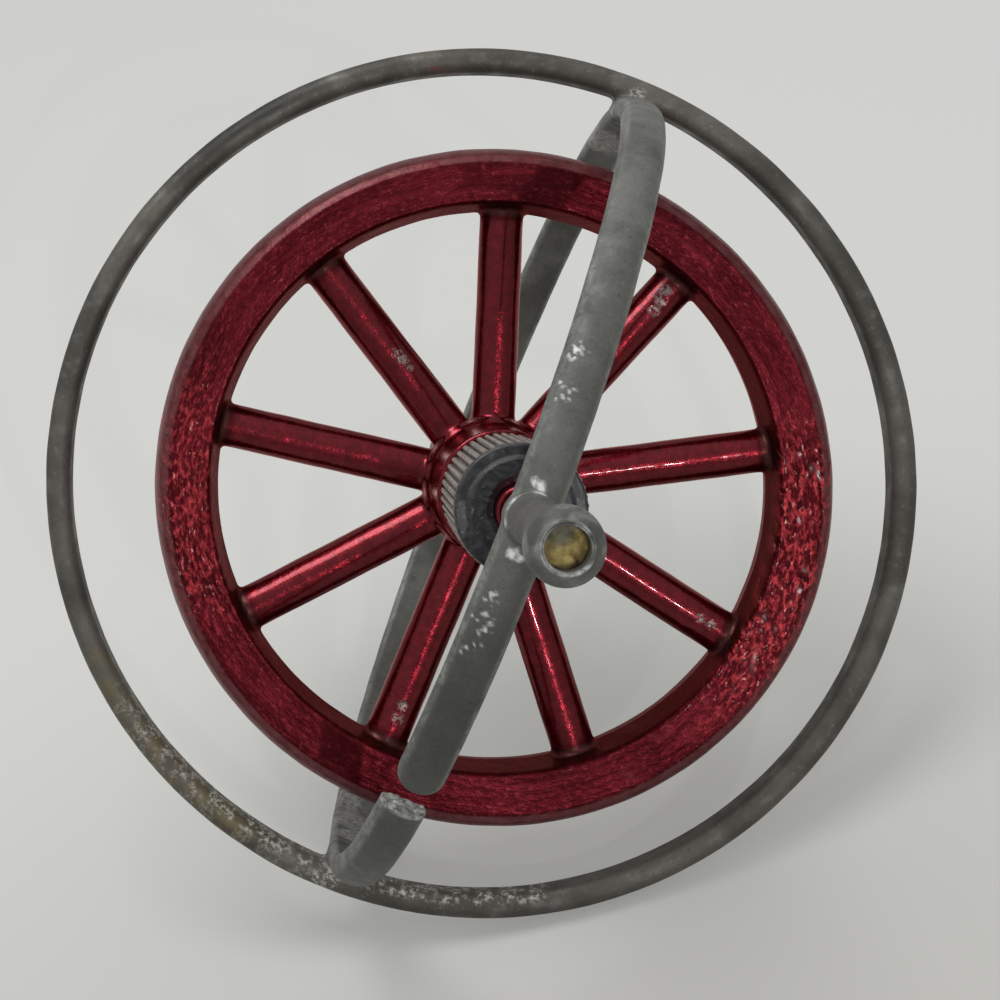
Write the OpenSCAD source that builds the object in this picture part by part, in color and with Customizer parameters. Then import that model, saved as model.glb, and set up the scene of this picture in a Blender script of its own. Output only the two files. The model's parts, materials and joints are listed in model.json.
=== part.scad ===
// Demonstration gyroscope: a cast ring and arm cage round a nine spoked flywheel,
// lying on the ring's lower edge and on the rear knob.

/* [Outer ring] */
// Middle radius of the ring's section
ring_r = 32; // [30:0.1:38]
// Thickness of the ring across its radius
ring_radial = 1.9; // [1.6:0.1:3]
// Width of the ring along the spin axis
ring_axial = 3; // [2.2:0.1:5]
// Radius of the ring section's rounded corners
ring_corner = 0.85; // [0.3:0.05:1]
// Sideways set of the ring from the arms' plane, left by the broken arm
ring_shift = 1.1; // [0:0.1:1.5]

/* [Arms] */
// Overlap of the arms' outer face on the ring's thickness
arm_lap = 0.25; // [0.2:0.05:1.5]
// Width of an arm
arm_w = 3.15; // [2.4:0.05:4]
// Thickness of an arm
arm_t = 1.9; // [1.4:0.1:2.4]
// Rise of an arm's rounded outer face
arm_crown = 0.5; // [0.05:0.05:0.6]
// Angle along the front arm at which it is broken off
break_at = 126.4; // [110:0.2:140]
// Angle of the gap between the front arm and its stub
break_gap = 6.8; // [4:0.2:15]
// Sideways set of the stub from the front arm
stub_shift = 0.1; // [0:0.1:1.2]
// Slant of the stub's broken face
stub_slant = 24; // [0:1:40]

/* [Bosses and knobs] */
// Radius of the round boss at the middle of each arm
boss_r = 1.75; // [1.7:0.05:2.6]
// Height of the boss beyond the arm's outer face
boss_rise = 0.35; // [0.3:0.05:3]
// Radius of the knob's stem
stem_r = 1.6; // [1.5:0.05:2]
// Radius of the knob's waist behind the ball
waist_r = 1.5; // [1.4:0.05:1.8]
// Radius of the knob's spigot in the boss
spigot_r = 1.2; // [1.05:0.05:1.4]
// Radius of the knob's ball end
ball_r = 2.15; // [1.9:0.05:3]
// Length of the knob beyond the boss, to its flat end
knob_l = 17.25; // [13:0.05:23]
// Depth by which the ball end is cut flat
ball_cut = 0.5; // [0.3:0.05:0.7]
// Radius of the open socket in the knob's end
socket_r = 1.25; // [1.22:0.01:1.35]
// Depth of the socket to the pivot screw's head
socket_depth = 2.2; // [2:0.1:6]

/* [Pivot screws] */
// Radius of the screw's shank
shank_r = 0.8; // [0.7:0.05:1]
// Radius of the screw's head, sunk below the socket
head_r = 1.05; // [0.9:0.05:1.2]
// Thickness of the screw's head
head_t = 1.6; // [0.8:0.1:3]
// Width of the driver slot
slot_w = 0.4; // [0.3:0.05:0.7]
// Depth of the driver slot
slot_d = 0.5; // [0.3:0.05:0.7]
// Length of shank that stands inside the arm
shank_out = 0.9; // [0.4:0.1:2]

/* [Flywheel] */
// Greatest radius of the flywheel
wheel_r = 25.65; // [24:0.05:28]
// Outer radius of the rim's flat face
face_r = 24.3; // [23:0.05:26]
// Inner radius of the rim's flat face
face_in = 21.3; // [20.5:0.05:22.5]
// Least inner radius of the rim
window_r = 20.8; // [19:0.05:21.2]
// Width of the rim along the spin axis
rim_w = 6.4; // [4:0.1:9]
// Number of spokes
spokes = 9; // [5:1:9]
// Radius of a spoke
spoke_r = 1.65; // [1:0.05:1.85]
// Radius of a spoke's flare at the rim
flare_r = 1.95; // [1.9:0.05:2.05]
// Length of the flare
flare_l = 1.2; // [0.8:0.1:3]
// Turn of the wheel from the arms' plane
spoke_turn = 18.3; // [0:0.1:40]

/* [Hub and drum] */
// Radius of the front boss where the drum starts
neck_r = 4.65; // [4.3:0.05:5.2]
// Rise of the hub's belt, which carries the spokes, over the front boss
hub_step = 0.4; // [0.3:0.05:2]
// Distance from the wheel's middle to the drum
neck_h = 10.8; // [8:0.1:13]
// Length of the hub's rear boss from the wheel's middle
tail_h = 7; // [4:0.1:14]
// Radius of the hub's nose through the drum
nose_r = 1.75; // [1.5:0.05:2]
// Radius over the drum's ridges
drum_r = 4.4; // [4:0.05:5]
// Depth of the drum's ridges
ridge_d = 0.3; // [0.1:0.02:0.4]
// Number of ridges
ridges = 46; // [36:2:72]
// Gap between the drum's front face and the front arm
drum_gap = 5; // [3.6:0.05:9]
// Thickness of the drum's front washer
washer_t = 0.8; // [0.5:0.1:1.5]
// Radius of the recess in the washer
recess_r = 2.2; // [2.1:0.05:3]
// Length of the nose past the drum's front face
nose_out = 1.6; // [0.4:0.1:1.8]

/* [Axle] */
// Radius of the axle
axle_r = 1.1; // [0.8:0.05:1.3]
// Radius of the pivot at each end of the axle
pivot_r = 0.5; // [0.35:0.05:0.6]
// Length of the pivot
pivot_l = 1.4; // [0.8:0.1:2]
// Radius of the string hole through the axle
string_r = 0.5; // [0.3:0.05:0.6]
// Distance from the wheel's middle to the string hole
string_h = 17; // [15:0.1:22]

/* [Clearances] */
// Running clearance round a pivot
pivot_gap = 0.03; // [0.02:0.01:0.06]
// End play at each pivot
end_play = 0.06; // [0.05:0.01:0.15]
// Gap between the rear arm's edge and the floor
floor_gap = 0.15; // [0.05:0.05:0.6]

/* [Hidden] */
$fn = 96;

ZINC = "darkgray";
RED = "firebrick";
BLACK = "darkslategray";
BRASS = "goldenrod";
STEEL = "silver";

arm_out = ring_r - ring_radial / 2 + arm_lap;
arm_in = arm_out - arm_t;
arm_r = arm_out - arm_t / 2;
boss_h = arm_out + boss_rise;
tip_h = boss_h + knob_l;
drum_h = arm_in - drum_gap;
crown_r = (arm_w * arm_w / 4 + arm_crown * arm_crown) / (2 * arm_crown);
ball_h = tip_h + ball_cut - ball_r;
socket_h = tip_h - socket_depth;
head_h = socket_h - head_t;
screw_in = arm_in - shank_out;
pivot_tip = screw_in + pivot_l;
ring_half = ring_axial / 2 - ring_corner;
// Where the spokes are thick, the hub grows so that they don't run into each other.
hub_r = max(neck_r + hub_step, spoke_r / sin(180 / spokes) + 0.1);
ring_mid = ring_r + ring_radial / 2 - ring_corner;

// The floor touches the ring's round corner below and the rear ball. The turn of the
// arms' plane then follows: it brings the rear arm's lower edge just clear of the floor.
edge_r = arm_out - arm_crown;
edge_reach = sqrt(edge_r * edge_r + arm_w * arm_w / 4);
edge_angle = atan2(arm_w / 2, edge_r);
function floor_tilt(up) = atan2(ring_mid - up, ball_h - ring_half)
    + asin((ring_corner - ball_r) / norm([ball_h - ring_half, ring_mid - up]));
function floor_lift(tilt) = ball_h * sin(tilt) + ball_r;
function arm_cos(tilt) = cos(acos((floor_lift(tilt) - floor_gap) / edge_reach) + edge_angle);
function arm_turn(tilt) = asin(sqrt(pow(arm_cos(tilt), 2) - pow(sin(tilt), 2)) / cos(tilt));
first_roll = arm_turn(floor_tilt(0));
second_roll = arm_turn(floor_tilt(ring_shift * cos(first_roll)));
arm_roll = arm_turn(floor_tilt(ring_shift * cos(second_roll)));
rest_tilt = floor_tilt(ring_shift * cos(arm_roll));
lift = floor_lift(rest_tilt);

// Places a piece, drawn about the upright spin axis, in the resting pose.
module placed() {
    translate([ring_shift * sin(arm_roll), 0, lift])
    rotate([90 - rest_tilt, 0, 0])
    children();
}

// Turns a piece drawn flat in the arms' plane up round the spin axis.
module arm_plane() {
    rotate([0, 0, arm_roll])
    rotate([90, 0, 0])
    children();
}

module ring_profile() {
    a = ring_radial / 2 - ring_corner;
    translate([ring_r, 0])
    union() {
        square([ring_radial, 2 * ring_half], center = true);
        square([2 * a, ring_axial], center = true);
        for (i = [-1, 1], j = [-1, 1])
            translate([i * a, j * ring_half])
            circle(r = ring_corner);
    }
}

module ring_solid() {
    rotate([0, 0, arm_roll])
    translate([0, ring_shift, 0])
    rotate_extrude()
    ring_profile();
}

module strap_profile() {
    intersection() {
        translate([arm_in, -arm_w / 2])
        square([arm_t, arm_w]);
        translate([arm_out - crown_r, 0])
        circle(r = crown_r);
    }
}

module strap(a0, a1) {
    rotate_extrude(angle = a1 - a0, start = a0)
    strap_profile();
}

module boss() {
    translate([0, 0, arm_in])
    cylinder(r = boss_r, h = boss_h - arm_in);
}

module boss_bore() {
    translate([0, 0, arm_in - 1])
    cylinder(r = spigot_r, h = boss_h - arm_in + 2);
}

module outer_ring() {
    color(ZINC)
    placed()
    ring_solid();
}

module front_arm() {
    color(ZINC)
    placed()
    difference() {
        union() {
            arm_plane()
            strap(0, break_at);
            arm_plane()
            intersection() {
                strap(break_at - 4, break_at + 6);
                rotate([0, 0, break_at])
                translate([arm_in - 1, 0, 0])
                rotate([0, 90, 0])
                cylinder(r = arm_w / 2, h = arm_t + 2);
            }
            boss();
        }
        boss_bore();
        ring_solid();
    }
}

module arm_stub() {
    cut = 4 * arm_w;
    color(ZINC)
    placed()
    difference() {
        arm_plane()
        translate([0, 0, -stub_shift])
        difference() {
            strap(break_at, 180);
            rotate([0, 0, break_at + break_gap])
            translate([arm_r, 0, 0])
            rotate([0, 0, -stub_slant])
            translate([-cut, -2 * cut, -cut])
            cube(2 * cut);
        }
        ring_solid();
    }
}

module rear_arm() {
    color(ZINC)
    placed()
    difference() {
        union() {
            arm_plane()
            strap(180, 360);
            mirror([0, 0, 1])
            boss();
        }
        mirror([0, 0, 1])
        boss_bore();
        ring_solid();
    }
}

module knob() {
    difference() {
        union() {
            translate([0, 0, arm_in])
            cylinder(r = spigot_r, h = boss_h - arm_in);
            translate([0, 0, boss_h])
            cylinder(r1 = stem_r, r2 = waist_r, h = ball_h - boss_h);
            intersection() {
                translate([0, 0, ball_h])
                sphere(r = ball_r);
                translate([0, 0, tip_h - 3 * ball_r])
                cylinder(r = 2 * ball_r, h = 3 * ball_r);
            }
        }
        translate([0, 0, arm_in - 1])
        cylinder(r = shank_r, h = tip_h - arm_in);
        translate([0, 0, head_h])
        cylinder(r = head_r, h = tip_h - head_h);
        translate([0, 0, socket_h])
        cylinder(r = socket_r, h = socket_depth + 1);
    }
}

module front_knob() {
    color(ZINC)
    placed()
    knob();
}

module rear_knob() {
    color(ZINC)
    placed()
    mirror([0, 0, 1])
    knob();
}

module pivot_screw() {
    difference() {
        union() {
            translate([0, 0, screw_in])
            cylinder(r = shank_r, h = head_h - screw_in + 0.5);
            translate([0, 0, head_h])
            cylinder(r = head_r, h = head_t);
        }
        translate([0, 0, screw_in - 1])
        cylinder(r = pivot_r + pivot_gap, h = 1 + pivot_l + end_play);
        translate([-2 * head_r, -slot_w / 2, socket_h - slot_d])
        cube([4 * head_r, slot_w, slot_d + 1]);
    }
}

module front_pivot_screw() {
    color(BRASS)
    placed()
    pivot_screw();
}

module rear_pivot_screw() {
    color(BRASS)
    placed()
    mirror([0, 0, 1])
    pivot_screw();
}

// The rim's section: a rounded outer side, flat faces and a drafted inner side.
module rim_profile() {
    h = rim_w / 2;
    d = wheel_r - face_r;
    out = [for (i = [-6:6]) [face_r + d * cos(i * 15), h * sin(i * 15)]];
    polygon(concat(out, [[face_in, h], [window_r, 0.3], [window_r, -0.3], [face_in, -h]]));
}

module rim_solid() {
    rotate_extrude()
    rim_profile();
}

module wheel_rim() {
    color(RED)
    placed()
    rim_solid();
}

// One spoke with its flare at the rim, run a little into the hub and the rim.
module spoke() {
    a = hub_r - 1.4;
    difference() {
        rotate([0, 90, 0])
        rotate_extrude()
        polygon([[0, a], [spoke_r, a], [spoke_r, window_r - flare_l],
            [flare_r, window_r], [flare_r, face_in], [0, face_in]]);
        hub_solid();
        rim_solid();
    }
}

// The hub: a belt that carries the spokes, a long front neck and a short tail.
module hub_solid() {
    b = spoke_r * 0.9;
    c = spoke_r + 0.3;
    d = c + hub_r - neck_r;
    rotate_extrude()
    polygon([[0, -tail_h], [neck_r - 0.3, -tail_h], [neck_r, -tail_h + 0.3], [neck_r, -d],
        [hub_r - 0.3, -c], [hub_r, -b], [hub_r, b], [hub_r - 0.3, c], [neck_r, d],
        [neck_r, neck_h - 0.3], [neck_r - 0.3, neck_h], [0, neck_h]]);
}

module wheel_spokes() {
    color(RED)
    placed()
    rotate([0, 0, arm_roll + spoke_turn])
    for (i = [0:spokes - 1])
        rotate([0, 0, i * 360 / spokes])
        spoke();
}

module wheel_hub() {
    color(RED)
    placed()
    difference() {
        union() {
            hub_solid();
            cylinder(r = nose_r, h = drum_h + nose_out);
        }
        translate([0, 0, -tail_h - 1])
        cylinder(r = axle_r, h = tail_h + drum_h + nose_out + 2);
    }
}

module axle() {
    s = screw_in - end_play;
    color(STEEL)
    placed()
    difference() {
        union() {
            translate([0, 0, -s])
            cylinder(r = axle_r, h = 2 * s);
            translate([0, 0, -pivot_tip])
            cylinder(r = pivot_r, h = 2 * pivot_tip);
        }
        rotate([0, 0, arm_roll + spoke_turn])
        translate([0, 0, -string_h])
        rotate([0, 90, 0])
        translate([0, 0, -2 * axle_r])
        cylinder(r = string_r, h = 4 * axle_r);
    }
}

module knurled_drum() {
    n = ridges;
    color(BLACK)
    placed()
    difference() {
        translate([0, 0, neck_h])
        linear_extrude(height = drum_h - washer_t - neck_h)
        polygon([for (i = [0:2 * n - 1])
            (drum_r - ridge_d * (i % 2)) * [cos(i * 180 / n), sin(i * 180 / n)]]);
        translate([0, 0, neck_h - 1])
        cylinder(r = nose_r, h = drum_h - neck_h + 2);
    }
}

module drum_washer() {
    color(BLACK)
    placed()
    difference() {
        translate([0, 0, drum_h - washer_t])
        cylinder(r = drum_r - 0.05, h = washer_t);
        translate([0, 0, drum_h - washer_t - 1])
        cylinder(r = nose_r, h = washer_t + 2);
        translate([0, 0, drum_h - washer_t / 2])
        cylinder(r1 = nose_r, r2 = recess_r, h = washer_t);
    }
}

outer_ring();
front_arm();
arm_stub();
rear_arm();
front_knob();
rear_knob();
front_pivot_screw();
rear_pivot_screw();
wheel_rim();
wheel_spokes();
wheel_hub();
axle();
knurled_drum();
drum_washer();
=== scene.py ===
import json
import math

import bpy
import numpy as np
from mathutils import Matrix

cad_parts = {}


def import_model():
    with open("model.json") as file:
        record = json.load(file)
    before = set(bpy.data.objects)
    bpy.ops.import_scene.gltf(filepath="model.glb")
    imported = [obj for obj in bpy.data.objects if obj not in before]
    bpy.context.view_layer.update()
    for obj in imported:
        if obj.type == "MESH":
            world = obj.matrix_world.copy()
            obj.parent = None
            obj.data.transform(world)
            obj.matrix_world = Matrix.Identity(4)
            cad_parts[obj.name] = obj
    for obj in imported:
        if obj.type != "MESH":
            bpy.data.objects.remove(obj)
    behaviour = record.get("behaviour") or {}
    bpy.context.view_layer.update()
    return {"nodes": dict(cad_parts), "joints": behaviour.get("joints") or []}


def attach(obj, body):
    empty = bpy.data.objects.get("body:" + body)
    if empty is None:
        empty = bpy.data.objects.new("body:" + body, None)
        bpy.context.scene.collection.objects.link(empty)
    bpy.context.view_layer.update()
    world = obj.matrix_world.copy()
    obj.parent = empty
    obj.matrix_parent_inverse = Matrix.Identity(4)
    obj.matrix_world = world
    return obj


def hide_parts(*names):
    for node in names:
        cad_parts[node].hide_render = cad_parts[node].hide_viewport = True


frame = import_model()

import openvdb
from mathutils import Matrix, Vector

# ---------------------------------------------------------------- sizes, in mm
MM = 0.001

# The spin frame: z along the axle to the front, x level to the right.
SPIN = frame["joints"][0]
SPIN_MIDDLE = np.array(SPIN["pos_m"])
SPIN_AXIS = np.array(SPIN["axis"])
SIDE = np.array([1.0, 0.0, 0.0])
RISE = np.cross(SPIN_AXIS, SIDE)
SPIN_FRAME = np.stack([SIDE, RISE, SPIN_AXIS])

# The outer ring, set to one side of the spin axis.
RING_R = 32.0
RING_RADIAL = 1.9
RING_AXIAL = 3.0
RING_CORNER = 0.85
RING_SHIFT = 1.1

# The arms: two half hoops across the ring. The front one is broken near the ring.
ARM_ROLL = math.radians(53.8641)
ARM_R = 30.35
ARM_W = 3.15
ARM_T = 1.9
ARM_CROWN = 0.55
ARM_PAST = 0.5
ARM_IN = ARM_R - ARM_T / 2
ARM_OUT = ARM_R + ARM_T / 2
STRAP_INNER_EDGE = 0.2
STRAP_SIDE_EDGE = 0.6
BREAK_AT = math.radians(126.4)
BREAK_GAP = math.radians(6.8)
STUB_SHIFT = 0.1
STUB_SLANT = math.radians(24)

# Fillets where the cage's forms meet.
RING_FILLET = 0.75
ARMS_FILLET = 0.3
BOSS_FILLET = 0.12
CUT_EDGE = 0.1

# The line of flash round the cage, where the mould's halves met.
FLASH_RISE = 0.03
FLASH_W = 0.25

# The knobs: a boss on each arm, a stem, and a ball end with a socket.
BOSS_R = 1.75
BOSS_RISE = 0.35
BOSS_H = ARM_OUT + BOSS_RISE
STEM_R = 1.6
WAIST_R = 1.5
STEM_ROOT = ARM_IN + 0.4
BALL_R = 2.15
TIP_H = 48.9
BALL_CUT = 0.5
BALL_H = TIP_H + BALL_CUT - BALL_R
BALL_FILLET = 1.1
TIP_EDGE = 0.22
SOCKET_R = 1.25
SOCKET_FLOOR = 46.7
HEAD_R = 1.05
HEAD_FLOOR = 45.1
LIP_R = 0.07
LIP_SET = 0.17
CRUST_T = 0.75

# The flywheel.
WHEEL_R = 25.65
FACE_R = 24.3
FACE_IN = 21.3
WINDOW_R = 20.8
RIM_W = 6.4
RIM_INNER_EDGE = 0.25
BEVEL_SLOPE = 0.6
# Brings the bevel's field back to about a true distance.
BEVEL_SCALE = 0.86
BEVEL_SET = 0.1
SPOKES = 9
SPOKE_PITCH = 2 * math.pi / SPOKES
SPOKE_R = 1.65
FIRST_SPOKE = ARM_ROLL + math.radians(18.3)
SPOKE_FILLET = 0.45
HUB_R = 5.05
HUB_HALF_W = 1.9
HUB_EDGE = 0.4
HUB_FILLET = 0.5
NECK_R = 4.65
NECK_H = 10.8
NECK_EDGE = 0.3
NECK_FILLET = 0.6
TAIL_H = 7.0
NOSE_R = 1.75
NOSE_END = 26.0
AXLE_R = 1.1

# The knurled drum and its smooth front washer.
DRUM_R = 4.4
DRUM_H = 24.4
DRUM_EDGE = 0.25
RIDGE_D = 0.3
RIDGES = 46
RIDGE_SHARPNESS = 0.6
WASHER_T = 0.55
WASHER_SET = 0.08
STEP_R = 3.25
STEP_T = 0.14
STEP_RUN = 0.3
RECESS_R = 2.2
RECESS_SLOPE = 0.5

# A hair's breadth between two surfaces that would otherwise coincide.
CLEAR = 0.01

# Side of the grid's cells for each mesh.
CAGE_CELL = 0.16
KNOB_CELL = 0.08
CRUST_CELL = 0.06
WHEEL_CELL = 0.17
DRUM_CELL = 0.09


# ------------------------------------------------- distance fields, in mm
def soft_min(a, b, k):
    """The smaller distance, with a fillet of about k where the two meet."""
    h = np.clip(0.5 + 0.5 * (b - a) / k, 0, 1)
    return b + (a - b) * h - k * h * (1 - h)


def soft_max(a, b, k):
    """The larger distance, with an edge rounded by about k."""
    return -soft_min(-a, -b, k)


def waves(p, length, seed, count=7):
    """A smooth, seeded unevenness between about -1 and 1."""
    rng = np.random.default_rng(seed)
    total = 0
    for _ in range(count):
        way = rng.normal(size=3)
        way *= 2 * math.pi / length * rng.uniform(0.6, 1.7) / np.linalg.norm(way)
        total = total + np.sin(p @ way + rng.uniform(0, 2 * math.pi))
    return total / (count / 2)


def off_axis(p):
    """Distance from the spin axis."""
    return np.hypot(p[..., 0], p[..., 1])


def round_axis(p):
    """Angle round the spin axis, in radians."""
    return np.arctan2(p[..., 1], p[..., 0])


def arm_frame(p):
    """Position in the arms' plane (u), across it (v) and along the spin axis (h)."""
    c, s = math.cos(ARM_ROLL), math.sin(ARM_ROLL)
    return p[..., 0] * c + p[..., 1] * s, p[..., 1] * c - p[..., 0] * s, p[..., 2]


def ring_distance(p):
    u, v, h = arm_frame(p)
    across = np.abs(np.hypot(u, v - RING_SHIFT) - RING_R) - (RING_RADIAL / 2 - RING_CORNER)
    along = np.abs(h) - (RING_AXIAL / 2 - RING_CORNER)
    corner = np.hypot(np.maximum(across, 0), np.maximum(along, 0))
    return corner + np.minimum(np.maximum(across, along), 0) - RING_CORNER


def strap_distance(rho, v):
    """A curved strap's section: flat inside, crowned outside, with rounded sides."""
    crown = ARM_CROWN * (2 * v / ARM_W) ** 2
    faces = soft_max(rho - ARM_OUT + crown, ARM_IN - rho, STRAP_INNER_EDGE)
    return soft_max(faces, np.abs(v) - ARM_W / 2, STRAP_SIDE_EDGE)


def front_arm_distance(p):
    """The front arm, with a round end where it broke off."""
    u, v, h = arm_frame(p)
    past = np.maximum(np.arctan2(h, u) - BREAK_AT, 0) * ARM_R
    side = np.where(past > 0, np.hypot(past, v), np.abs(v))
    return soft_max(strap_distance(np.hypot(u, h), side), -h - ARM_PAST, CUT_EDGE)


def break_height(p):
    """Height over the plane at which the stub is broken off."""
    u, v, h = arm_frame(p)
    at = BREAK_AT + BREAK_GAP
    slant = at - STUB_SLANT
    along = (u - ARM_R * math.cos(at)) * math.sin(slant)
    return along - (h - ARM_R * math.sin(at)) * math.cos(slant)


def stub_distance(p):
    """The stub on the ring, with a rough broken face."""
    u, v, h = arm_frame(p)
    strap = strap_distance(np.hypot(u, h), v - STUB_SHIFT)
    rough = 0.1 * waves(p, 1.3, 5) + 0.07 * waves(p, 0.55, 6)
    broken = soft_max(strap, break_height(p) + rough, 0.12)
    return soft_max(broken, -h - ARM_PAST, CUT_EDGE)


def rear_arm_distance(p):
    u, v, h = arm_frame(p)
    return soft_max(strap_distance(np.hypot(u, h), v), h - ARM_PAST, CUT_EDGE)


def boss_distance(p):
    h = np.abs(p[..., 2])
    ends = soft_max(h - BOSS_H, ARM_IN - h, CUT_EDGE)
    return soft_max(off_axis(p) - BOSS_R, ends, 0.2)


def cage_distance(p):
    """Ring, arms, stub and bosses as one casting."""
    front = soft_min(front_arm_distance(p), stub_distance(p), 0.05)
    arms = soft_min(rear_arm_distance(p), front, ARMS_FILLET)
    cage = soft_min(ring_distance(p), arms, RING_FILLET)
    cage = soft_min(cage, boss_distance(p), BOSS_FILLET)
    here = np.clip(waves(p, 9.0, 3) + 0.4, 0, 1)
    flash = FLASH_RISE * np.exp(-(p[..., 2] / FLASH_W) ** 2) * here
    return cage + 0.014 * waves(p, 5.0, 1) + 0.003 * waves(p, 1.6, 2) - flash


def knob_distance(p):
    """The stem, the ball end and its socket, on the front or the rear."""
    r = off_axis(p)
    h = np.abs(p[..., 2])
    along = np.clip((h - BOSS_H) / (BALL_H - BOSS_H), 0, 1)
    ends = np.maximum(h - BALL_H, STEM_ROOT - h)
    stem = np.maximum(r - STEM_R - (WAIST_R - STEM_R) * along, ends)
    ball = np.hypot(r, h - BALL_H) - BALL_R
    knob = soft_max(soft_min(stem, ball, BALL_FILLET), h - TIP_H, TIP_EDGE)
    knob = knob + 0.004 * waves(p, 1.7, 21) + 0.012 * waves(p, 6.0, 22)
    lip = np.hypot(r - SOCKET_R - LIP_SET, h - TIP_H) - LIP_R
    knob = soft_min(knob, lip, 0.08)
    socket = np.maximum(r - SOCKET_R + 0.04, SOCKET_FLOOR - h)
    head = np.maximum(r - HEAD_R, HEAD_FLOOR - h)
    return soft_max(knob, -np.minimum(socket, head), CUT_EDGE)


def crust_distance(p):
    """The corrosion that fills the bottom of the front socket."""
    h = p[..., 2]
    top = SOCKET_FLOOR + CRUST_T + 0.14 * waves(p, 1.5, 31) + 0.04 * waves(p, 0.8, 32)
    ends = soft_max(h - top, SOCKET_FLOOR + 0.05 - h, 0.1)
    return soft_max(off_axis(p) - SOCKET_R + 0.02, ends, 0.1)


def rim_distance(p):
    """The rim: a swelling outer side, a bevel round the face, and a sloping inner side."""
    r = off_axis(p)
    h = np.abs(p[..., 2])
    half = RIM_W / 2
    swell = WHEEL_R - FACE_R
    outer = (np.hypot(np.maximum(r - FACE_R, 0) / swell, h / half) - 1) * swell
    bevel = ((r - FACE_R - BEVEL_SET) * BEVEL_SLOPE + h - half) * BEVEL_SCALE
    inner = (WINDOW_R + (FACE_IN - WINDOW_R) * h / half) - r
    return soft_max(soft_max(outer, bevel, 0.06), inner, RIM_INNER_EDGE)


def spokes_distance(p):
    r = off_axis(p)
    turn = round_axis(p) - FIRST_SPOKE
    turn = np.mod(turn + SPOKE_PITCH / 2, SPOKE_PITCH) - SPOKE_PITCH / 2
    along, across = r * np.cos(turn), r * np.sin(turn)
    spoke = np.hypot(across, p[..., 2]) - SPOKE_R
    return np.maximum(spoke, along - FACE_IN)


def hub_distance(p):
    """The hub's belt, neck and nose, bored for the axle."""
    r = off_axis(p)
    h = p[..., 2]
    belt = soft_max(r - HUB_R, np.abs(h) - HUB_HALF_W, HUB_EDGE)
    neck = soft_max(r - NECK_R, soft_max(h - NECK_H, -h - TAIL_H, CUT_EDGE), NECK_EDGE)
    nose = soft_max(r - NOSE_R, soft_max(h - NOSE_END, -h, CUT_EDGE), 0.25)
    hub = soft_min(soft_min(belt, neck, NECK_FILLET), nose, 0.05)
    return np.maximum(hub, AXLE_R + CLEAR - r)


def wheel_distance(p):
    """Rim, spokes and hub as one casting."""
    wheel = soft_min(rim_distance(p), spokes_distance(p), SPOKE_FILLET)
    wheel = soft_min(wheel, hub_distance(p), HUB_FILLET)
    return wheel + 0.014 * waves(p, 5.0, 11) + 0.004 * waves(p, 1.3, 12)


def drum_distance(p):
    """The drum: ridges along the side, a smooth washer in front, and a bore."""
    r = off_axis(p)
    h = p[..., 2]
    reed = np.abs(np.sin(RIDGES / 2 * round_axis(p)))
    ridged = r - DRUM_R + RIDGE_D * (1 - reed ** RIDGE_SHARPNESS)
    side = np.where(h > DRUM_H - WASHER_T, r - DRUM_R + WASHER_SET, ridged)
    step = h - DRUM_H + STEP_T * np.clip((r - STEP_R) / STEP_RUN, 0, 1)
    recess = (h - DRUM_H + RECESS_SLOPE * (RECESS_R - r)) * 0.9
    ends = soft_max(np.maximum(step, recess), NECK_H - h, 0.05)
    drum = soft_max(side, ends, DRUM_EDGE)
    return np.maximum(drum + 0.006 * waves(p, 2.0, 41), NOSE_R + CLEAR - r)


# -------------------------------------------------------------------- meshes
def world(points):
    """Points in the spin frame, in mm, as world points in metres."""
    return SPIN_MIDDLE + (np.asarray(points, float) @ SPIN_FRAME) * MM


def slope_of(distance, points, step=0.02):
    """The gradient of a distance field."""
    ways = [distance(points + step * axis) - distance(points - step * axis) for axis in np.eye(3)]
    return np.stack(ways, -1) / (2 * step)


def filled_blocks(distance, low, high, size):
    """Whole-number places of the blocks that the surface may pass through."""
    counts = np.ceil((high - low) / size).astype(int)
    ranges = [np.arange(n) for n in counts]
    index = np.stack(np.meshgrid(*ranges, indexing="ij"), -1).reshape(-1, 3)
    return index[distance(low + (index + 0.5) * size) < size * 0.95]


def skin(name, distance, low, high, cell, block=16, batch=100):
    """Meshes the surface where a distance field is zero, and shades it smooth."""
    low, high = np.array(low, float), np.array(high, float)
    size = block * cell
    index = filled_blocks(distance, low, high, size)
    steps = np.arange(block) * cell
    local = np.stack(np.meshgrid(steps, steps, steps, indexing="ij"), -1)
    grid = openvdb.FloatGrid(1.0)
    for part in np.array_split(index, max(1, len(index) // batch)):
        values = distance(low + part[:, None, None, None] * size + local[None])
        for at, value in zip(part, values):
            grid.copyFromArray(value.astype(np.float32), ijk=tuple(int(n) for n in at * block))
    points, quads = grid.convertToQuads(isovalue=0.0)
    points = low + np.asarray(points, float) * cell
    for _ in range(2):
        slope = slope_of(distance, points)
        length = np.maximum((slope ** 2).sum(-1), 0.05)
        points = points - slope * (distance(points) / length)[:, None]
    normals = slope_of(distance, points) @ SPIN_FRAME
    normals = normals / np.linalg.norm(normals, axis=-1, keepdims=True)
    mesh = bpy.data.meshes.new(name)
    mesh.from_pydata(world(points).tolist(), [], np.asarray(quads).tolist())
    mesh.shade_smooth()
    mesh.normals_split_custom_set_from_vertices(normals)
    thing = bpy.data.objects.new(name, mesh)
    bpy.context.scene.collection.objects.link(thing)
    return thing, points


# --------------------------------------------------------------------- marks
def mark(thing, name, values):
    """Stores one number a vertex, which a material reads by name."""
    attribute = thing.data.attributes.new(name, "FLOAT", "POINT")
    attribute.data.foreach_set("value", np.clip(values, 0, 1).astype(np.float32))


def rise(value, low, high):
    """Goes smoothly from 0 at low to 1 at high."""
    t = np.clip((value - low) / (high - low), 0, 1)
    return t * t * (3 - 2 * t)


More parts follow.
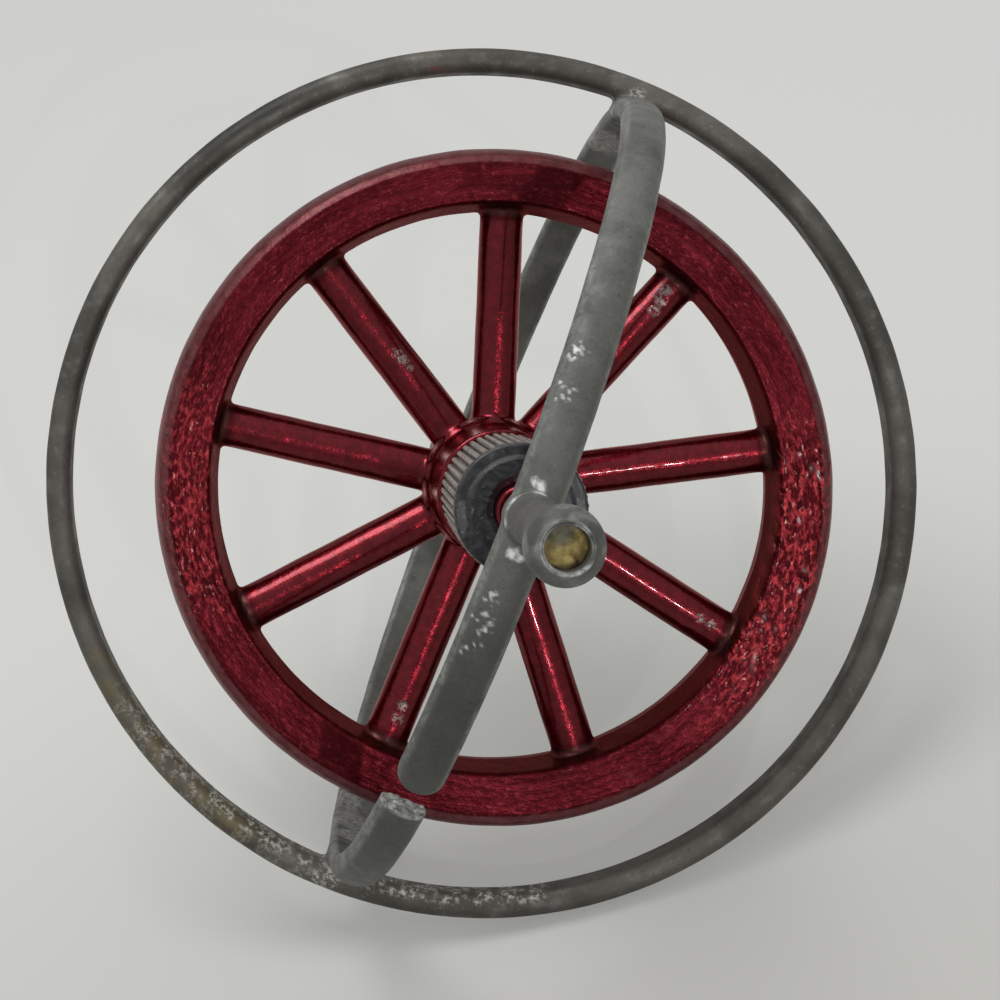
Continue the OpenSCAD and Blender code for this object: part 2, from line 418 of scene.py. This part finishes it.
def fall(value, low, high):
    return 1 - rise(value, low, high)


def arc(points, start, end, soft=4.0):
    """One between two angles round the spin axis, in degrees, with ragged soft ends."""
    turn = np.mod(np.degrees(round_axis(points)) + 2.5 * waves(points, 3.0, 81), 360)
    return rise(turn, start - soft, start + soft) * fall(turn, end - soft, end + soft)


def spots(points, places, seed):
    """Ragged spots round the places given as (x, y, z, reach) in the spin frame."""
    total = np.zeros(len(points))
    ragged = 0.35 * waves(points, 1.2, seed) + 0.25 * waves(points, 0.5, seed + 1)
    for x, y, z, reach in places:
        near = np.linalg.norm(points - np.array([x, y, z]), axis=-1) / reach
        total = np.maximum(total, fall(near + ragged * 0.5, 0.6, 1.1))
    return total


def turned(along, across, height, angle, reach):
    """A place that lies along and across a direction at an angle round the spin axis."""
    c, s = math.cos(angle), math.sin(angle)
    return along * c - across * s, along * s + across * c, height, reach


def on_strap(radius, places):
    """Places on an arm: degrees from its upper end over the front, mm across it, reach."""
    found = []
    for degrees, across, reach in places:
        turn = math.radians(degrees)
        u, h = radius * math.cos(turn), radius * math.sin(turn)
        found.append(turned(u, across, h, ARM_ROLL, reach))
    return found


def on_level(height, places):
    """Places at one height along the spin axis: degrees round it, radius, reach."""
    return [turned(radius, 0, height, math.radians(degrees), reach) for degrees, radius, reach in places]


def on_spokes(places):
    """Places on the front of the spokes: the spoke's number, radius, mm across it, reach."""
    found = []
    for number, radius, across, reach in places:
        angle = FIRST_SPOKE + number * SPOKE_PITCH
        found.append(turned(radius, across, SPOKE_R, angle, reach))
    return found


# ------------------------------------------------------------------- shaders
# The mark "radius" holds the distance from the spin axis in this unit, in mm.
RADIUS_UNIT = 30.0


class Shader:
    """A material whose nodes are added with their inputs in one call."""

    def __init__(self, name):
        self.material = bpy.data.materials.new(name)
        self.material.use_nodes = True
        self.tree = self.material.node_tree
        self.tree.nodes.clear()

    def add(self, kind, settings=None, out=0, **inputs):
        """Inputs go by the socket's name, or by its number as i0, i1 and so on."""
        node = self.tree.nodes.new("ShaderNode" + kind)
        for key, value in (settings or {}).items():
            setattr(node, key, value)
        for key, value in inputs.items():
            name = key.replace("_", " ")
            socket = node.inputs[int(key[1:])] if key[1:].isdigit() else node.inputs[name]
            if isinstance(value, bpy.types.NodeSocket):
                self.tree.links.new(value, socket)
            else:
                socket.default_value = value
        return node.outputs[out] if len(node.outputs) else None

    def place(self):
        return self.add("TexCoord", out=3)

    def read(self, name):
        return self.add("Attribute", {"attribute_name": name}, out=2)

    def noise(self, scale, detail, rough=0.5, at=None, warp=0.0):
        at = at or self.place()
        return self.add("TexNoise", Vector=at, Scale=scale, Detail=detail, Roughness=rough, Distortion=warp)

    def streaks(self, radial, along):
        """Noise drawn out round the wheel: features per mm across the rim and along it."""
        x, z = (self.add("SeparateXYZ", out=n, Vector=self.place()) for n in (0, 2))
        radius = self.times(self.read("radius"), RADIUS_UNIT * radial)
        side = self.times(x, along / MM)
        up = self.times(z, along / MM)
        return self.noise(1, 3, 0.6, at=self.add("CombineXYZ", i0=radius, i1=side, i2=up))

    def math(self, how, a, b):
        return self.add("Math", {"operation": how}, i0=a, i1=b)

    def times(self, a, b):
        return self.math("MULTIPLY", a, b)

    def ramp(self, value, low, high, start=0.0, end=1.0):
        """Goes smoothly from start to end while the value goes from low to high."""
        settings = {"clamp": True, "interpolation_type": "SMOOTHSTEP"}
        return self.add("MapRange", settings, i0=value, i1=low, i2=high, i3=start, i4=end)

    def mix(self, factor, a, b):
        return self.add("Mix", {"data_type": "RGBA"}, out=2, i0=factor, i6=a, i7=b)

    def bump(self, height, strength, depth):
        return self.add("Bump", Height=height, Strength=strength, Distance=depth)

    def finish(self, **inputs):
        self.add("OutputMaterial", Surface=self.add("BsdfPrincipled", **inputs))
        return self.material


def rgb(r, g, b):
    return (r, g, b, 1.0)


def paint(thing, material):
    thing.data.materials.clear()
    thing.data.materials.append(material)


# Linear colours of the cast zinc.
ZINC_DULL = rgb(0.092, 0.092, 0.083)
ZINC_PALE = rgb(0.14, 0.141, 0.129)
RING_DULL = rgb(0.058, 0.053, 0.043)
RING_PALE = rgb(0.108, 0.1, 0.085)
ZINC_CLOUD = rgb(0.2, 0.2, 0.19)
ZINC_SHADE = rgb(0.058, 0.056, 0.048)
ZINC_PIT = rgb(0.045, 0.043, 0.038)
ZINC_SPECK = rgb(0.3, 0.3, 0.285)
ZINC_TARNISH_AND_SHADE = rgb(0.022, 0.022, 0.02)
ZINC_STAIN = rgb(0.11, 0.086, 0.04)
ZINC_CRUST = rgb(0.37, 0.36, 0.32)
ZINC_ROSE = rgb(0.17, 0.035, 0.035)
ZINC_FRESH_AND_GLINT = rgb(0.62, 0.62, 0.6)


def zinc():
    """Dull zinc: grey, mottled, browner on the ring, bright where it is broken or worn, with painted
    highlights round the front boss and painted shade down the front arm and round the ring.
    """
    s = Shader("cast_zinc")
    broad, mid, fine = s.noise(150, 4), s.noise(700, 4, 0.55), s.noise(4000, 5, 0.65)
    colour = s.mix(s.ramp(broad, 0.35, 0.68), ZINC_DULL, ZINC_PALE)
    ring = s.mix(s.ramp(broad, 0.4, 0.6), RING_DULL, RING_PALE)
    colour = s.mix(s.read("ring"), colour, ring)
    colour = s.mix(s.ramp(mid, 0.5, 0.72, 0, 0.28), colour, ZINC_CLOUD)
    colour = s.mix(s.ramp(mid, 0.46, 0.3, 0, 0.4), colour, ZINC_SHADE)
    colour = s.mix(s.ramp(fine, 0.58, 0.7, 0, 0.7), colour, ZINC_PIT)
    colour = s.mix(s.ramp(fine, 0.4, 0.3, 0, 0.35), colour, ZINC_SPECK)
    # A dark blotch on the ring's own metal, and painted shade down the front arm and round the ring.
    tarnish_and_shade = s.times(s.read("dark"), s.ramp(mid, 0.3, 0.55, 0.5, 0.95))
    colour = s.mix(tarnish_and_shade, colour, ZINC_TARNISH_AND_SHADE)
    stain = s.times(s.read("stain"), s.ramp(mid, 0.4, 0.62, 0.1, 0.75))
    colour = s.mix(stain, colour, ZINC_STAIN)
    lumps = s.times(s.read("crust"), s.ramp(s.noise(3200, 5, 0.7), 0.46, 0.58, 0, 0.9))
    colour = s.mix(lumps, colour, ZINC_CRUST)
    rose = s.times(s.read("rose"), s.ramp(s.noise(1500, 4, 0.6), 0.48, 0.62, 0, 0.6))
    colour = s.mix(rose, colour, ZINC_ROSE)
    # Bright where the metal is broken or worn, plus painted highlights at the front boss's foot.
    worn = s.times(s.read("fresh_and_glint"), s.ramp(s.noise(2600, 4, 0.6), 0.35, 0.6, 0.25, 1))
    colour = s.mix(worn, colour, ZINC_FRESH_AND_GLINT)
    height = s.math("ADD", s.times(mid, 0.4), fine)
    height = s.math("ADD", height, s.times(lumps, 1.5))
    rough = s.ramp(mid, 0.3, 0.7, 0.66, 0.46)
    return s.finish(Base_Color=colour, Metallic=0.35, Roughness=rough, Specular_IOR_Level=0.4,
                    Normal=s.bump(height, 0.17, 0.0001))


# Linear colours of the red lacquer.
RED_DEEP = rgb(0.042, 0.0025, 0.005)
RED_DARK = rgb(0.068, 0.0045, 0.008)
RED_GROOVE = rgb(0.11, 0.009, 0.014)
RED_CRUMB = rgb(0.16, 0.02, 0.025)
RED_SPOKE_DARK = rgb(0.09, 0.003, 0.007)
RED_SPOKE = rgb(0.14, 0.005, 0.011)
RED_PAINTED_SPARKLE = rgb(0.5, 0.05, 0.06)
RED_PAINTED_GLINT = rgb(0.75, 0.33, 0.3)
RED_EDGE = rgb(0.115, 0.04, 0.043)
RED_WALL_BROWN = rgb(0.06, 0.03, 0.025)
RED_CHIP = rgb(0.17, 0.135, 0.13)
RED_SHEEN = rgb(0.8, 0.3, 0.3)


def lacquer():
    """Red lacquer over a bright casting: circling grooves, painted sparkle highlights on the rim, smooth
    spokes.
    """
    s = Shader("red_lacquer")
    broad, peel, grain = s.noise(190, 4), s.noise(1400, 4, 0.6), s.noise(5200, 3, 0.6)
    grooves, crumbs = s.streaks(1.3, 0.16), s.streaks(2.6, 1.9)
    on_spoke, painted_sparkle = s.read("spoke"), s.read("sparkle_highlight")
    colour = s.mix(s.ramp(broad, 0.35, 0.68), RED_DEEP, RED_DARK)
    colour = s.mix(s.ramp(grooves, 0.48, 0.64, 0, 0.5), colour, RED_GROOVE)
    colour = s.mix(s.ramp(crumbs, 0.54, 0.74, 0, 0.5), colour, RED_CRUMB)
    colour = s.mix(on_spoke, colour, s.mix(s.ramp(peel, 0.35, 0.7), RED_SPOKE_DARK, RED_SPOKE))
    # Painted highlights: bright red specks and pale pink specks on the rim's face, at the lower right and,
    # weaker, on the left.
    colour = s.mix(s.times(painted_sparkle, s.ramp(crumbs, 0.42, 0.72)), colour, RED_PAINTED_SPARKLE)
    painted_glint = s.times(painted_sparkle, s.ramp(s.streaks(3.4, 2.1), 0.62, 0.72))
    colour = s.mix(painted_glint, colour, RED_PAINTED_GLINT)
    edge = s.times(s.read("edge"), s.ramp(s.noise(900, 5, 0.6), 0.35, 0.62, 0.3, 0.85))
    colour = s.mix(edge, colour, RED_EDGE)
    # Darker brown on the rim's inner wall.
    colour = s.mix(s.times(s.read("wall"), 0.6), colour, RED_WALL_BROWN)
    chip = s.times(s.read("chip"), s.ramp(s.noise(2400, 3, 0.6), 0.38, 0.5))
    colour = s.mix(chip, colour, RED_CHIP)
    rim_relief = s.times(crumbs, s.ramp(painted_sparkle, 0, 1, 0.5, 1.8))
    rim_relief = s.math("ADD", s.times(grooves, 0.8), rim_relief)
    height = s.mix(on_spoke, rim_relief, s.times(peel, 0.6))
    height = s.math("SUBTRACT", height, s.times(chip, 0.5))
    metal = s.ramp(s.math("MAXIMUM", s.read("edge"), chip), 0.2, 0.8, 0.9, 0.3)
    rough = s.math("ADD", s.ramp(grain, 0.35, 0.65, 0, 0.1), s.ramp(on_spoke, 0, 1, 0.32, 0.2))
    return s.finish(Base_Color=colour, Metallic=metal, Roughness=rough,
                    Specular_Tint=RED_SHEEN, Normal=s.bump(height, 0.6, 0.00018),
                    Coat_Weight=s.ramp(on_spoke, 0, 1, 0.03, 0.32), Coat_Roughness=0.09)


# Linear colours of the black drum.
DRUM_BLACK = rgb(0.012, 0.013, 0.015)
DRUM_SMUDGE = rgb(0.045, 0.045, 0.048)
DRUM_DUST = rgb(0.16, 0.16, 0.155)
DRUM_WORN = rgb(0.27, 0.235, 0.2)
DRUM_GROOVE_SHADE = rgb(0.03, 0.018, 0.018)


def black():
    """Black drum with ridges worn pale, painted shade in the grooves between them, and a smudged front."""
    s = Shader("black_drum")
    smudge = s.noise(700, 6, 0.65, warp=1.2)
    colour = s.mix(s.ramp(smudge, 0.42, 0.7), DRUM_BLACK, DRUM_SMUDGE)
    colour = s.mix(s.ramp(s.noise(2600, 4, 0.6), 0.6, 0.72, 0, 0.6), colour, DRUM_DUST)
    tip = s.times(s.read("tip"), s.ramp(s.noise(1100, 4, 0.6), 0.3, 0.6, 0.3, 1))
    colour = s.mix(tip, colour, DRUM_WORN)
    # Painted shade in the grooves between the ridges.
    colour = s.mix(s.times(s.read("groove_shade"), 0.85), colour, DRUM_GROOVE_SHADE)
    return s.finish(Base_Color=colour, Metallic=0.0, Roughness=s.ramp(smudge, 0.4, 0.65, 0.34, 0.55),
                    Normal=s.bump(s.noise(2600, 4), 0.35, 0.0001))


BRASS_BRIGHT = rgb(0.42, 0.27, 0.08)
BRASS_OLD = rgb(0.16, 0.11, 0.05)


def brass():
    s = Shader("aged_brass")
    colour = s.mix(s.ramp(s.noise(1500, 5, 0.6), 0.4, 0.7), BRASS_BRIGHT, BRASS_OLD)
    return s.finish(Base_Color=colour, Metallic=0.8, Roughness=0.5,
                    Normal=s.bump(s.noise(4000, 4), 0.4, 0.0001))


CRUST_OCHRE = rgb(0.24, 0.17, 0.05)
CRUST_YELLOW = rgb(0.56, 0.44, 0.15)
CRUST_GREY = rgb(0.17, 0.165, 0.115)
CRUST_BROWN = rgb(0.06, 0.03, 0.018)


def crust():
    """Yellow corrosion, greyer above and brown below."""
    s = Shader("socket_crust")
    lumps = s.noise(1300, 4, 0.6)
    colour = s.mix(s.ramp(lumps, 0.36, 0.64), CRUST_OCHRE, CRUST_YELLOW)
    colour = s.mix(s.times(s.read("above"), s.ramp(lumps, 0.3, 0.6, 1, 0.75)), colour, CRUST_GREY)
    colour = s.mix(s.times(s.read("below"), s.ramp(lumps, 0.35, 0.6, 1, 0.6)), colour, CRUST_BROWN)
    return s.finish(Base_Color=colour, Metallic=0.1, Roughness=0.6,
                    Normal=s.bump(s.noise(3500, 4), 0.4, 0.0001))


STEEL_BRIGHT = rgb(0.22, 0.21, 0.2)
STEEL_RUST = rgb(0.1, 0.07, 0.055)


def steel():
    s = Shader("axle_steel")
    colour = s.mix(s.ramp(s.noise(800, 5), 0.4, 0.7), STEEL_BRIGHT, STEEL_RUST)
    return s.finish(Base_Color=colour, Metallic=0.8, Roughness=0.42)


# ------------------------------------------------- wear, and painted highlights and shade, that the photograph shows
# How deep under a rounded or crowned face the middle of a mark lies.
MARK_DEPTH = 0.15
# Painted highlights round the front boss, on the arm's outer face: degrees, radius, reach.
BOSS_GLINTS = [(61, 2.05, 0.42), (70, 2.35, 0.3), (225, 2.4, 0.5), (236, 2.5, 0.32)]
# White lumps where the arms meet the ring: degrees, radius, reach.
JOINT_CRUST = [(231.5, 32.4, 1.1), (233, 31.3, 0.9), (57, 30.2, 0.8), (54, 31.5, 0.8)]
# On the arms: degrees round the arm, mm across it, reach.
SCUFFS = [(70, 1.0, 0.8), (75, 0.8, 0.8), (100, 0.65, 0.6), (103, 0.6, 0.9), (106.5, 0.5, 0.7)]
REAR_LIGHT = [(191, 0.35, 1.9), (197, 1.0, 1.7), (185, 0.1, 1.5), (-13, 0.8, 2.6)]
REAR_ROSE = [(194, 0.65, 0.5), (190, 0.15, 0.35)]
REAR_STAIN = [(-7, 0.2, 1.0), (-11, 0.15, 0.8), (-15, 0.1, 0.7)]
# On the spokes, counted both ways from the one beside the arm: number, radius, mm across, reach.
CHIPS = [(1, 12.3, -0.5, 0.45), (1, 11.6, -0.5, 0.5), (1, 10.8, -0.5, 0.35),
         (-1, 19.7, 0.35, 0.5), (-1, 18.9, 0.15, 0.55), (-1, 18.0, -0.1, 0.5),
         (-3, 19.25, 0.1, 0.4), (-3, 18.4, 0.05, 0.35),
         (-5, 18.85, 0.2, 0.5), (-5, 17.9, 0.1, 0.4)]


def mark_cage(cage, at):
    """Where the cage's material is browner, stained, crusted, rosy, darkened in a blotch, or bright where
    broken or worn; also where shade and highlights are painted on.
    """
    u, v, h = arm_frame(at)
    on_ring = fall(ring_distance(at), 0.1, 0.8)
    on_arm = 1 - on_ring
    off_ring = np.hypot(u, v - RING_SHIFT) - RING_R
    inner_side = rise(-off_ring, 0.0, 0.5)
    outer_side = rise(off_ring, -0.35, 0.2)
    boss_glints = on_level(ARM_OUT - MARK_DEPTH, BOSS_GLINTS)
    joint_crust = on_level(RING_AXIAL / 2 - MARK_DEPTH, JOINT_CRUST)
    rear_light = on_strap(ARM_IN, REAR_LIGHT)

    broken = fall(np.abs(break_height(at)), 0.15, 0.35) * (stub_distance(at) < 0.1)
    # A painted highlight on the ring round the boss's foot, brighter towards one side.
    collar_glint = fall(np.abs(off_axis(at) - BOSS_R + 0.05), 0.05, 0.22) * (at[:, 2] > ARM_OUT + 0.1)
    collar_glint = collar_glint * rise(waves(at, 1.6, 51) - 0.1 - 0.2 * at[:, 0] + 0.25 * at[:, 1], 0, 0.6)
    sides = rise(np.abs(v), ARM_W / 2 - 0.45, ARM_W / 2 - 0.15) * on_arm
    sides = sides * (0.16 + 0.1 * waves(at, 2.5, 52))
    scuffs = spots(at, on_strap(ARM_OUT - MARK_DEPTH, SCUFFS), 63) * rise(waves(at, 0.7, 53), 0.3, 0.6)
    bright = [broken * 0.4, collar_glint * 0.75, spots(at, boss_glints, 61), sides, scuffs * 0.8,
              spots(at, rear_light, 64) * 0.32]

    # Painted shade: the front arm is darker lower down, and the ring is darker outside the arc from 40 to
    # 130 degrees.
    down_arm = 0.3 * rise(np.arctan2(h, u), 0.9, 1.5) + 0.3 * rise(np.arctan2(h, u), 1.6, 2.0)
    shade = np.maximum(on_arm * down_arm, 0.2 * on_ring * (1 - arc(at, 40, 130)))
    blotch = on_ring * outer_side * arc(at, 98, 118)

    grain = rise(waves(at, 1.3, 54), -0.5, 0.3)
    ring_crust = np.maximum(arc(at, 196, 232) * (0.35 + 0.65 * inner_side), arc(at, 236, 262) * inner_side)
    crusts = [on_ring * grain * ring_crust, spots(at, joint_crust, 66), spots(at, rear_light, 67) * 0.6]

    stain = np.maximum(on_ring * arc(at, 190, 222), spots(at, on_strap(ARM_IN, REAR_STAIN), 65))
    rose_on_ring = on_ring * inner_side * arc(at, 79, 83, 1.5)

    mark(cage, "ring", on_ring)
    mark(cage, "fresh_and_glint", np.max(bright, 0))
    mark(cage, "dark", np.maximum(shade, blotch))
    mark(cage, "stain", stain)
    mark(cage, "crust", np.max(crusts, 0))
    mark(cage, "rose", np.maximum(rose_on_ring, spots(at, on_strap(ARM_IN, REAR_ROSE), 68)))


def mark_knob(knob, at):
    """Mottling on the ball and a thin bright lip round the socket."""
    height = np.abs(at[:, 2])
    on_ball = rise(height, BALL_H - 2.6, BALL_H - 1.2)
    lip = fall(np.abs(off_axis(at) - SOCKET_R - 0.12), 0.05, 0.2) * (height > TIP_H - 0.15)
    lip = 0.45 * lip * rise(waves(at, 1.5, 71), -0.4, 0.4)
    for wear in ("ring", "stain", "crust", "rose"):
        mark(knob, wear, np.zeros(len(at)))
    mark(knob, "dark", on_ball * 0.4 * rise(waves(at, 2.4, 73), 0.0, 0.8) + 0.12)
    mark(knob, "fresh_and_glint", np.maximum(lip, 0.2 * on_ball * rise(waves(at, 2.0, 74), 0.1, 0.8)))


def mark_wheel(wheel, at):
    """Where the rim has painted sparkle highlights, where the lacquer is worn at an edge, browner on the
    rim's inner wall, or chipped, and what is spoke.
    """
    radius, turn = off_axis(at), np.degrees(round_axis(at))
    on_rim = rise(radius, FACE_IN - 0.4, FACE_IN)
    low_right = fall(np.abs(turn + 32), 14, 34)
    left = fall(np.abs(np.mod(turn, 360) - 168), 8, 32)
    wall = fall(radius, FACE_IN - 0.15, FACE_IN + 0.05) * rise(radius, WINDOW_R - 0.5, WINDOW_R - 0.2)
    # Painted sparkle highlights on the rim's face, strongest at the lower right and weaker on the left.
    mark(wheel, "sparkle_highlight", on_rim * np.maximum(low_right, left * 0.6) + 0.04)
    mark(wheel, "edge", rise(radius, FACE_R + 0.05, FACE_R + 0.2))
    mark(wheel, "wall", wall)
    mark(wheel, "chip", spots(at, on_spokes(CHIPS), 91))
    mark(wheel, "radius", radius / RADIUS_UNIT)
    mark(wheel, "spoke", fall(radius, WINDOW_R - 1.2, WINDOW_R - 0.2))


# -------------------------------------------------------------------- pieces
def dress_cage(finish):
    reach = ARM_OUT + 1.2
    out = RING_R + RING_RADIAL + 0.9
    cage, at = skin("cage_casting", cage_distance, (-out, -out, -reach), (out, out, reach), CAGE_CELL)
    paint(cage, finish)
    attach(cage, "cage")
    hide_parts("outer_ring", "front_arm", "arm_stub", "rear_arm")
    mark_cage(cage, at)


def dress_knob(name, low, high, finish):
    half = BALL_R + 0.45
    knob, at = skin(name + "_casting", knob_distance, (-half, -half, low), (half, half, high), KNOB_CELL)
    paint(knob, finish)
    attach(knob, "cage")
    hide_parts(name)
    mark_knob(knob, at)


def fill_socket():
    half = SOCKET_R + 0.25
    low, high = SOCKET_FLOOR - 0.3, SOCKET_FLOOR + 1.6
    crusted, at = skin("socket_crust", crust_distance, (-half, -half, low), (half, half, high), CRUST_CELL)
    paint(crusted, crust())
    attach(crusted, "cage")
    mark(crusted, "above", rise(at[:, 1] + 0.25 * waves(at, 0.9, 35), 0.1, 0.6))
    mark(crusted, "below", fall(at[:, 1] + 0.2 * waves(at, 0.7, 36), -1.05, -0.65))


def dress_wheel():
    out = WHEEL_R + 1.35
    low, high = -TAIL_H - 1, NOSE_END + 1
    wheel, at = skin("wheel_casting", wheel_distance, (-out, -out, low), (out, out, high), WHEEL_CELL)
    paint(wheel, lacquer())
    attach(wheel, "flywheel")
    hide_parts("wheel_rim", "wheel_spokes", "wheel_hub")
    mark_wheel(wheel, at)


def dress_drum():
    out = DRUM_R + 0.4
    low, high = NECK_H - 0.3, DRUM_H + 0.5
    drum, at = skin("drum_casting", drum_distance, (-out, -out, low), (out, out, high), DRUM_CELL)
    paint(drum, black())
    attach(drum, "flywheel")
    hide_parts("knurled_drum", "drum_washer")
    radius = off_axis(at)
    mark(drum, "tip", rise(radius, DRUM_R - 0.13, DRUM_R - 0.02) * (at[:, 2] < DRUM_H - 0.25))
    # Painted shade in the grooves between the ridges, below the washer.
    mark(drum, "groove_shade", fall(radius, DRUM_R - 0.24, DRUM_R - 0.1) * (at[:, 2] < DRUM_H - 0.4))


zinc_finish = zinc()
dress_cage(zinc_finish)
dress_knob("front_knob", ARM_IN + 0.2, TIP_H + 0.5, zinc_finish)
dress_knob("rear_knob", -TIP_H - 0.5, -ARM_IN - 0.2, zinc_finish)
fill_socket()
dress_wheel()
dress_drum()

brass_finish = brass()
for node in ("front_pivot_screw", "rear_pivot_screw"):
    paint(frame["nodes"][node], brass_finish)
paint(frame["nodes"]["axle"], steel())

# ------------------------------------------------- floor and lights, in metres
FLOOR_COLOUR = rgb(0.594, 0.598, 0.577)
# Painted shade: the floor's colour darkens towards the front, going from FADE_TO down to FADE_FROM along y.
FLOOR_FRONT_SHADE = rgb(0.49, 0.485, 0.462)
FLOOR_OWN_LIGHT = 0.42
FLOOR_HALF = 1.5
FADE_FROM = -0.045
FADE_TO = 0.035

WINDOW_AT = (-0.07, 0.02, 0.46)
WINDOW_AIM = (0, 0, 0.02)
FRONT_AT = (0.07, -0.47, 0.235)
FRONT_AIM = (0, 0, 0.03)


def sweep():
    """A pale floor, partly its own light for the camera so that shadows on it stay soft, with painted shade
    that darkens it towards the front.
    """
    s = Shader("sweep")
    mesh = bpy.data.meshes.new("floor")
    corners = [(-FLOOR_HALF, -FLOOR_HALF, 0), (FLOOR_HALF, -FLOOR_HALF, 0),
               (FLOOR_HALF, FLOOR_HALF, 0), (-FLOOR_HALF, FLOOR_HALF, 0)]
    mesh.from_pydata(corners, [], [(0, 1, 2, 3)])
    floor = bpy.data.objects.new("floor", mesh)
    bpy.context.scene.collection.objects.link(floor)
    camera_ray = s.add("LightPath")
    seen = s.times(camera_ray, FLOOR_OWN_LIGHT)
    depth = s.add("SeparateXYZ", out=1, Vector=s.place())
    colour = s.mix(s.ramp(depth, FADE_FROM, FADE_TO), FLOOR_FRONT_SHADE, FLOOR_COLOUR)
    plain = s.add("BsdfDiffuse", Color=colour)
    own = s.add("Emission", Color=colour, Strength=1.0)
    s.add("OutputMaterial", Surface=s.add("MixShader", i0=seen, i1=plain, i2=own))
    paint(floor, s.material)


def lamp(name, at, aim, size, power):
    light = bpy.data.lights.new(name, "AREA")
    light.shape = "DISK"
    light.size = size
    light.energy = power
    thing = bpy.data.objects.new(name, light)
    thing.location = at
    thing.rotation_euler = (Vector(aim) - Vector(at)).to_track_quat("-Z", "Y").to_euler()
    bpy.context.scene.collection.objects.link(thing)


def surround(level, top):
    """A room that is brighter overhead than at the sides."""
    sky = bpy.data.worlds.new("room")
    sky.use_nodes = True
    tree = sky.node_tree
    where = tree.nodes.new("ShaderNodeTexCoord")
    split = tree.nodes.new("ShaderNodeSeparateXYZ")
    fade = tree.nodes.new("ShaderNodeMapRange")
    tree.links.new(where.outputs["Generated"], split.inputs[0])
    tree.links.new(split.outputs["Z"], fade.inputs["Value"])
    fade.inputs["To Min"].default_value = level
    fade.inputs["To Max"].default_value = top
    tree.links.new(fade.outputs[0], tree.nodes["Background"].inputs["Strength"])
    tree.nodes["Background"].inputs["Color"].default_value = rgb(1.0, 1.0, 1.0)
    bpy.context.scene.world = sky


sweep()
surround(level=0.4, top=0.85)
lamp("window", WINDOW_AT, WINDOW_AIM, size=0.22, power=1.0)
lamp("front", FRONT_AT, FRONT_AIM, size=0.012, power=0.38)

# -------------------------------------------------------------------- camera
CAMERA_AT = Vector((-8.412, -120.847, 120.967)) * MM
CAMERA_YAW = math.radians(-1.87396)
CAMERA_PITCH = math.radians(-29.97459)
CAMERA_ROLL = math.radians(-16.16007)
SENSOR_W = 36
FOCAL_LENGTH = 71.18
SHIFT_X = 0.2516
SHIFT_Y = -0.2270
NEAREST = 0.01


def look():
    """Sets the camera that the photograph's outlines gave."""
    level = math.cos(CAMERA_PITCH)
    ahead = Vector((math.sin(CAMERA_YAW) * level, math.cos(CAMERA_YAW) * level, math.sin(CAMERA_PITCH)))
    level_side = ahead.cross(Vector((0, 0, 1))).normalized()
    level_up = level_side.cross(ahead)
    side = level_side * math.cos(CAMERA_ROLL) + level_up * math.sin(CAMERA_ROLL)
    up = side.cross(ahead)
    lens = bpy.data.cameras.new("camera")
    lens.sensor_width = SENSOR_W
    lens.lens = FOCAL_LENGTH
    lens.shift_x = SHIFT_X
    lens.shift_y = SHIFT_Y
    lens.clip_start = NEAREST
    camera = bpy.data.objects.new("camera", lens)
    turn = Matrix((side, up, -ahead)).transposed().to_4x4()
    camera.matrix_world = Matrix.Translation(CAMERA_AT) @ turn
    bpy.context.scene.collection.objects.link(camera)
    bpy.context.scene.camera = camera


look()
bpy.context.scene.view_settings.view_transform = "Standard"
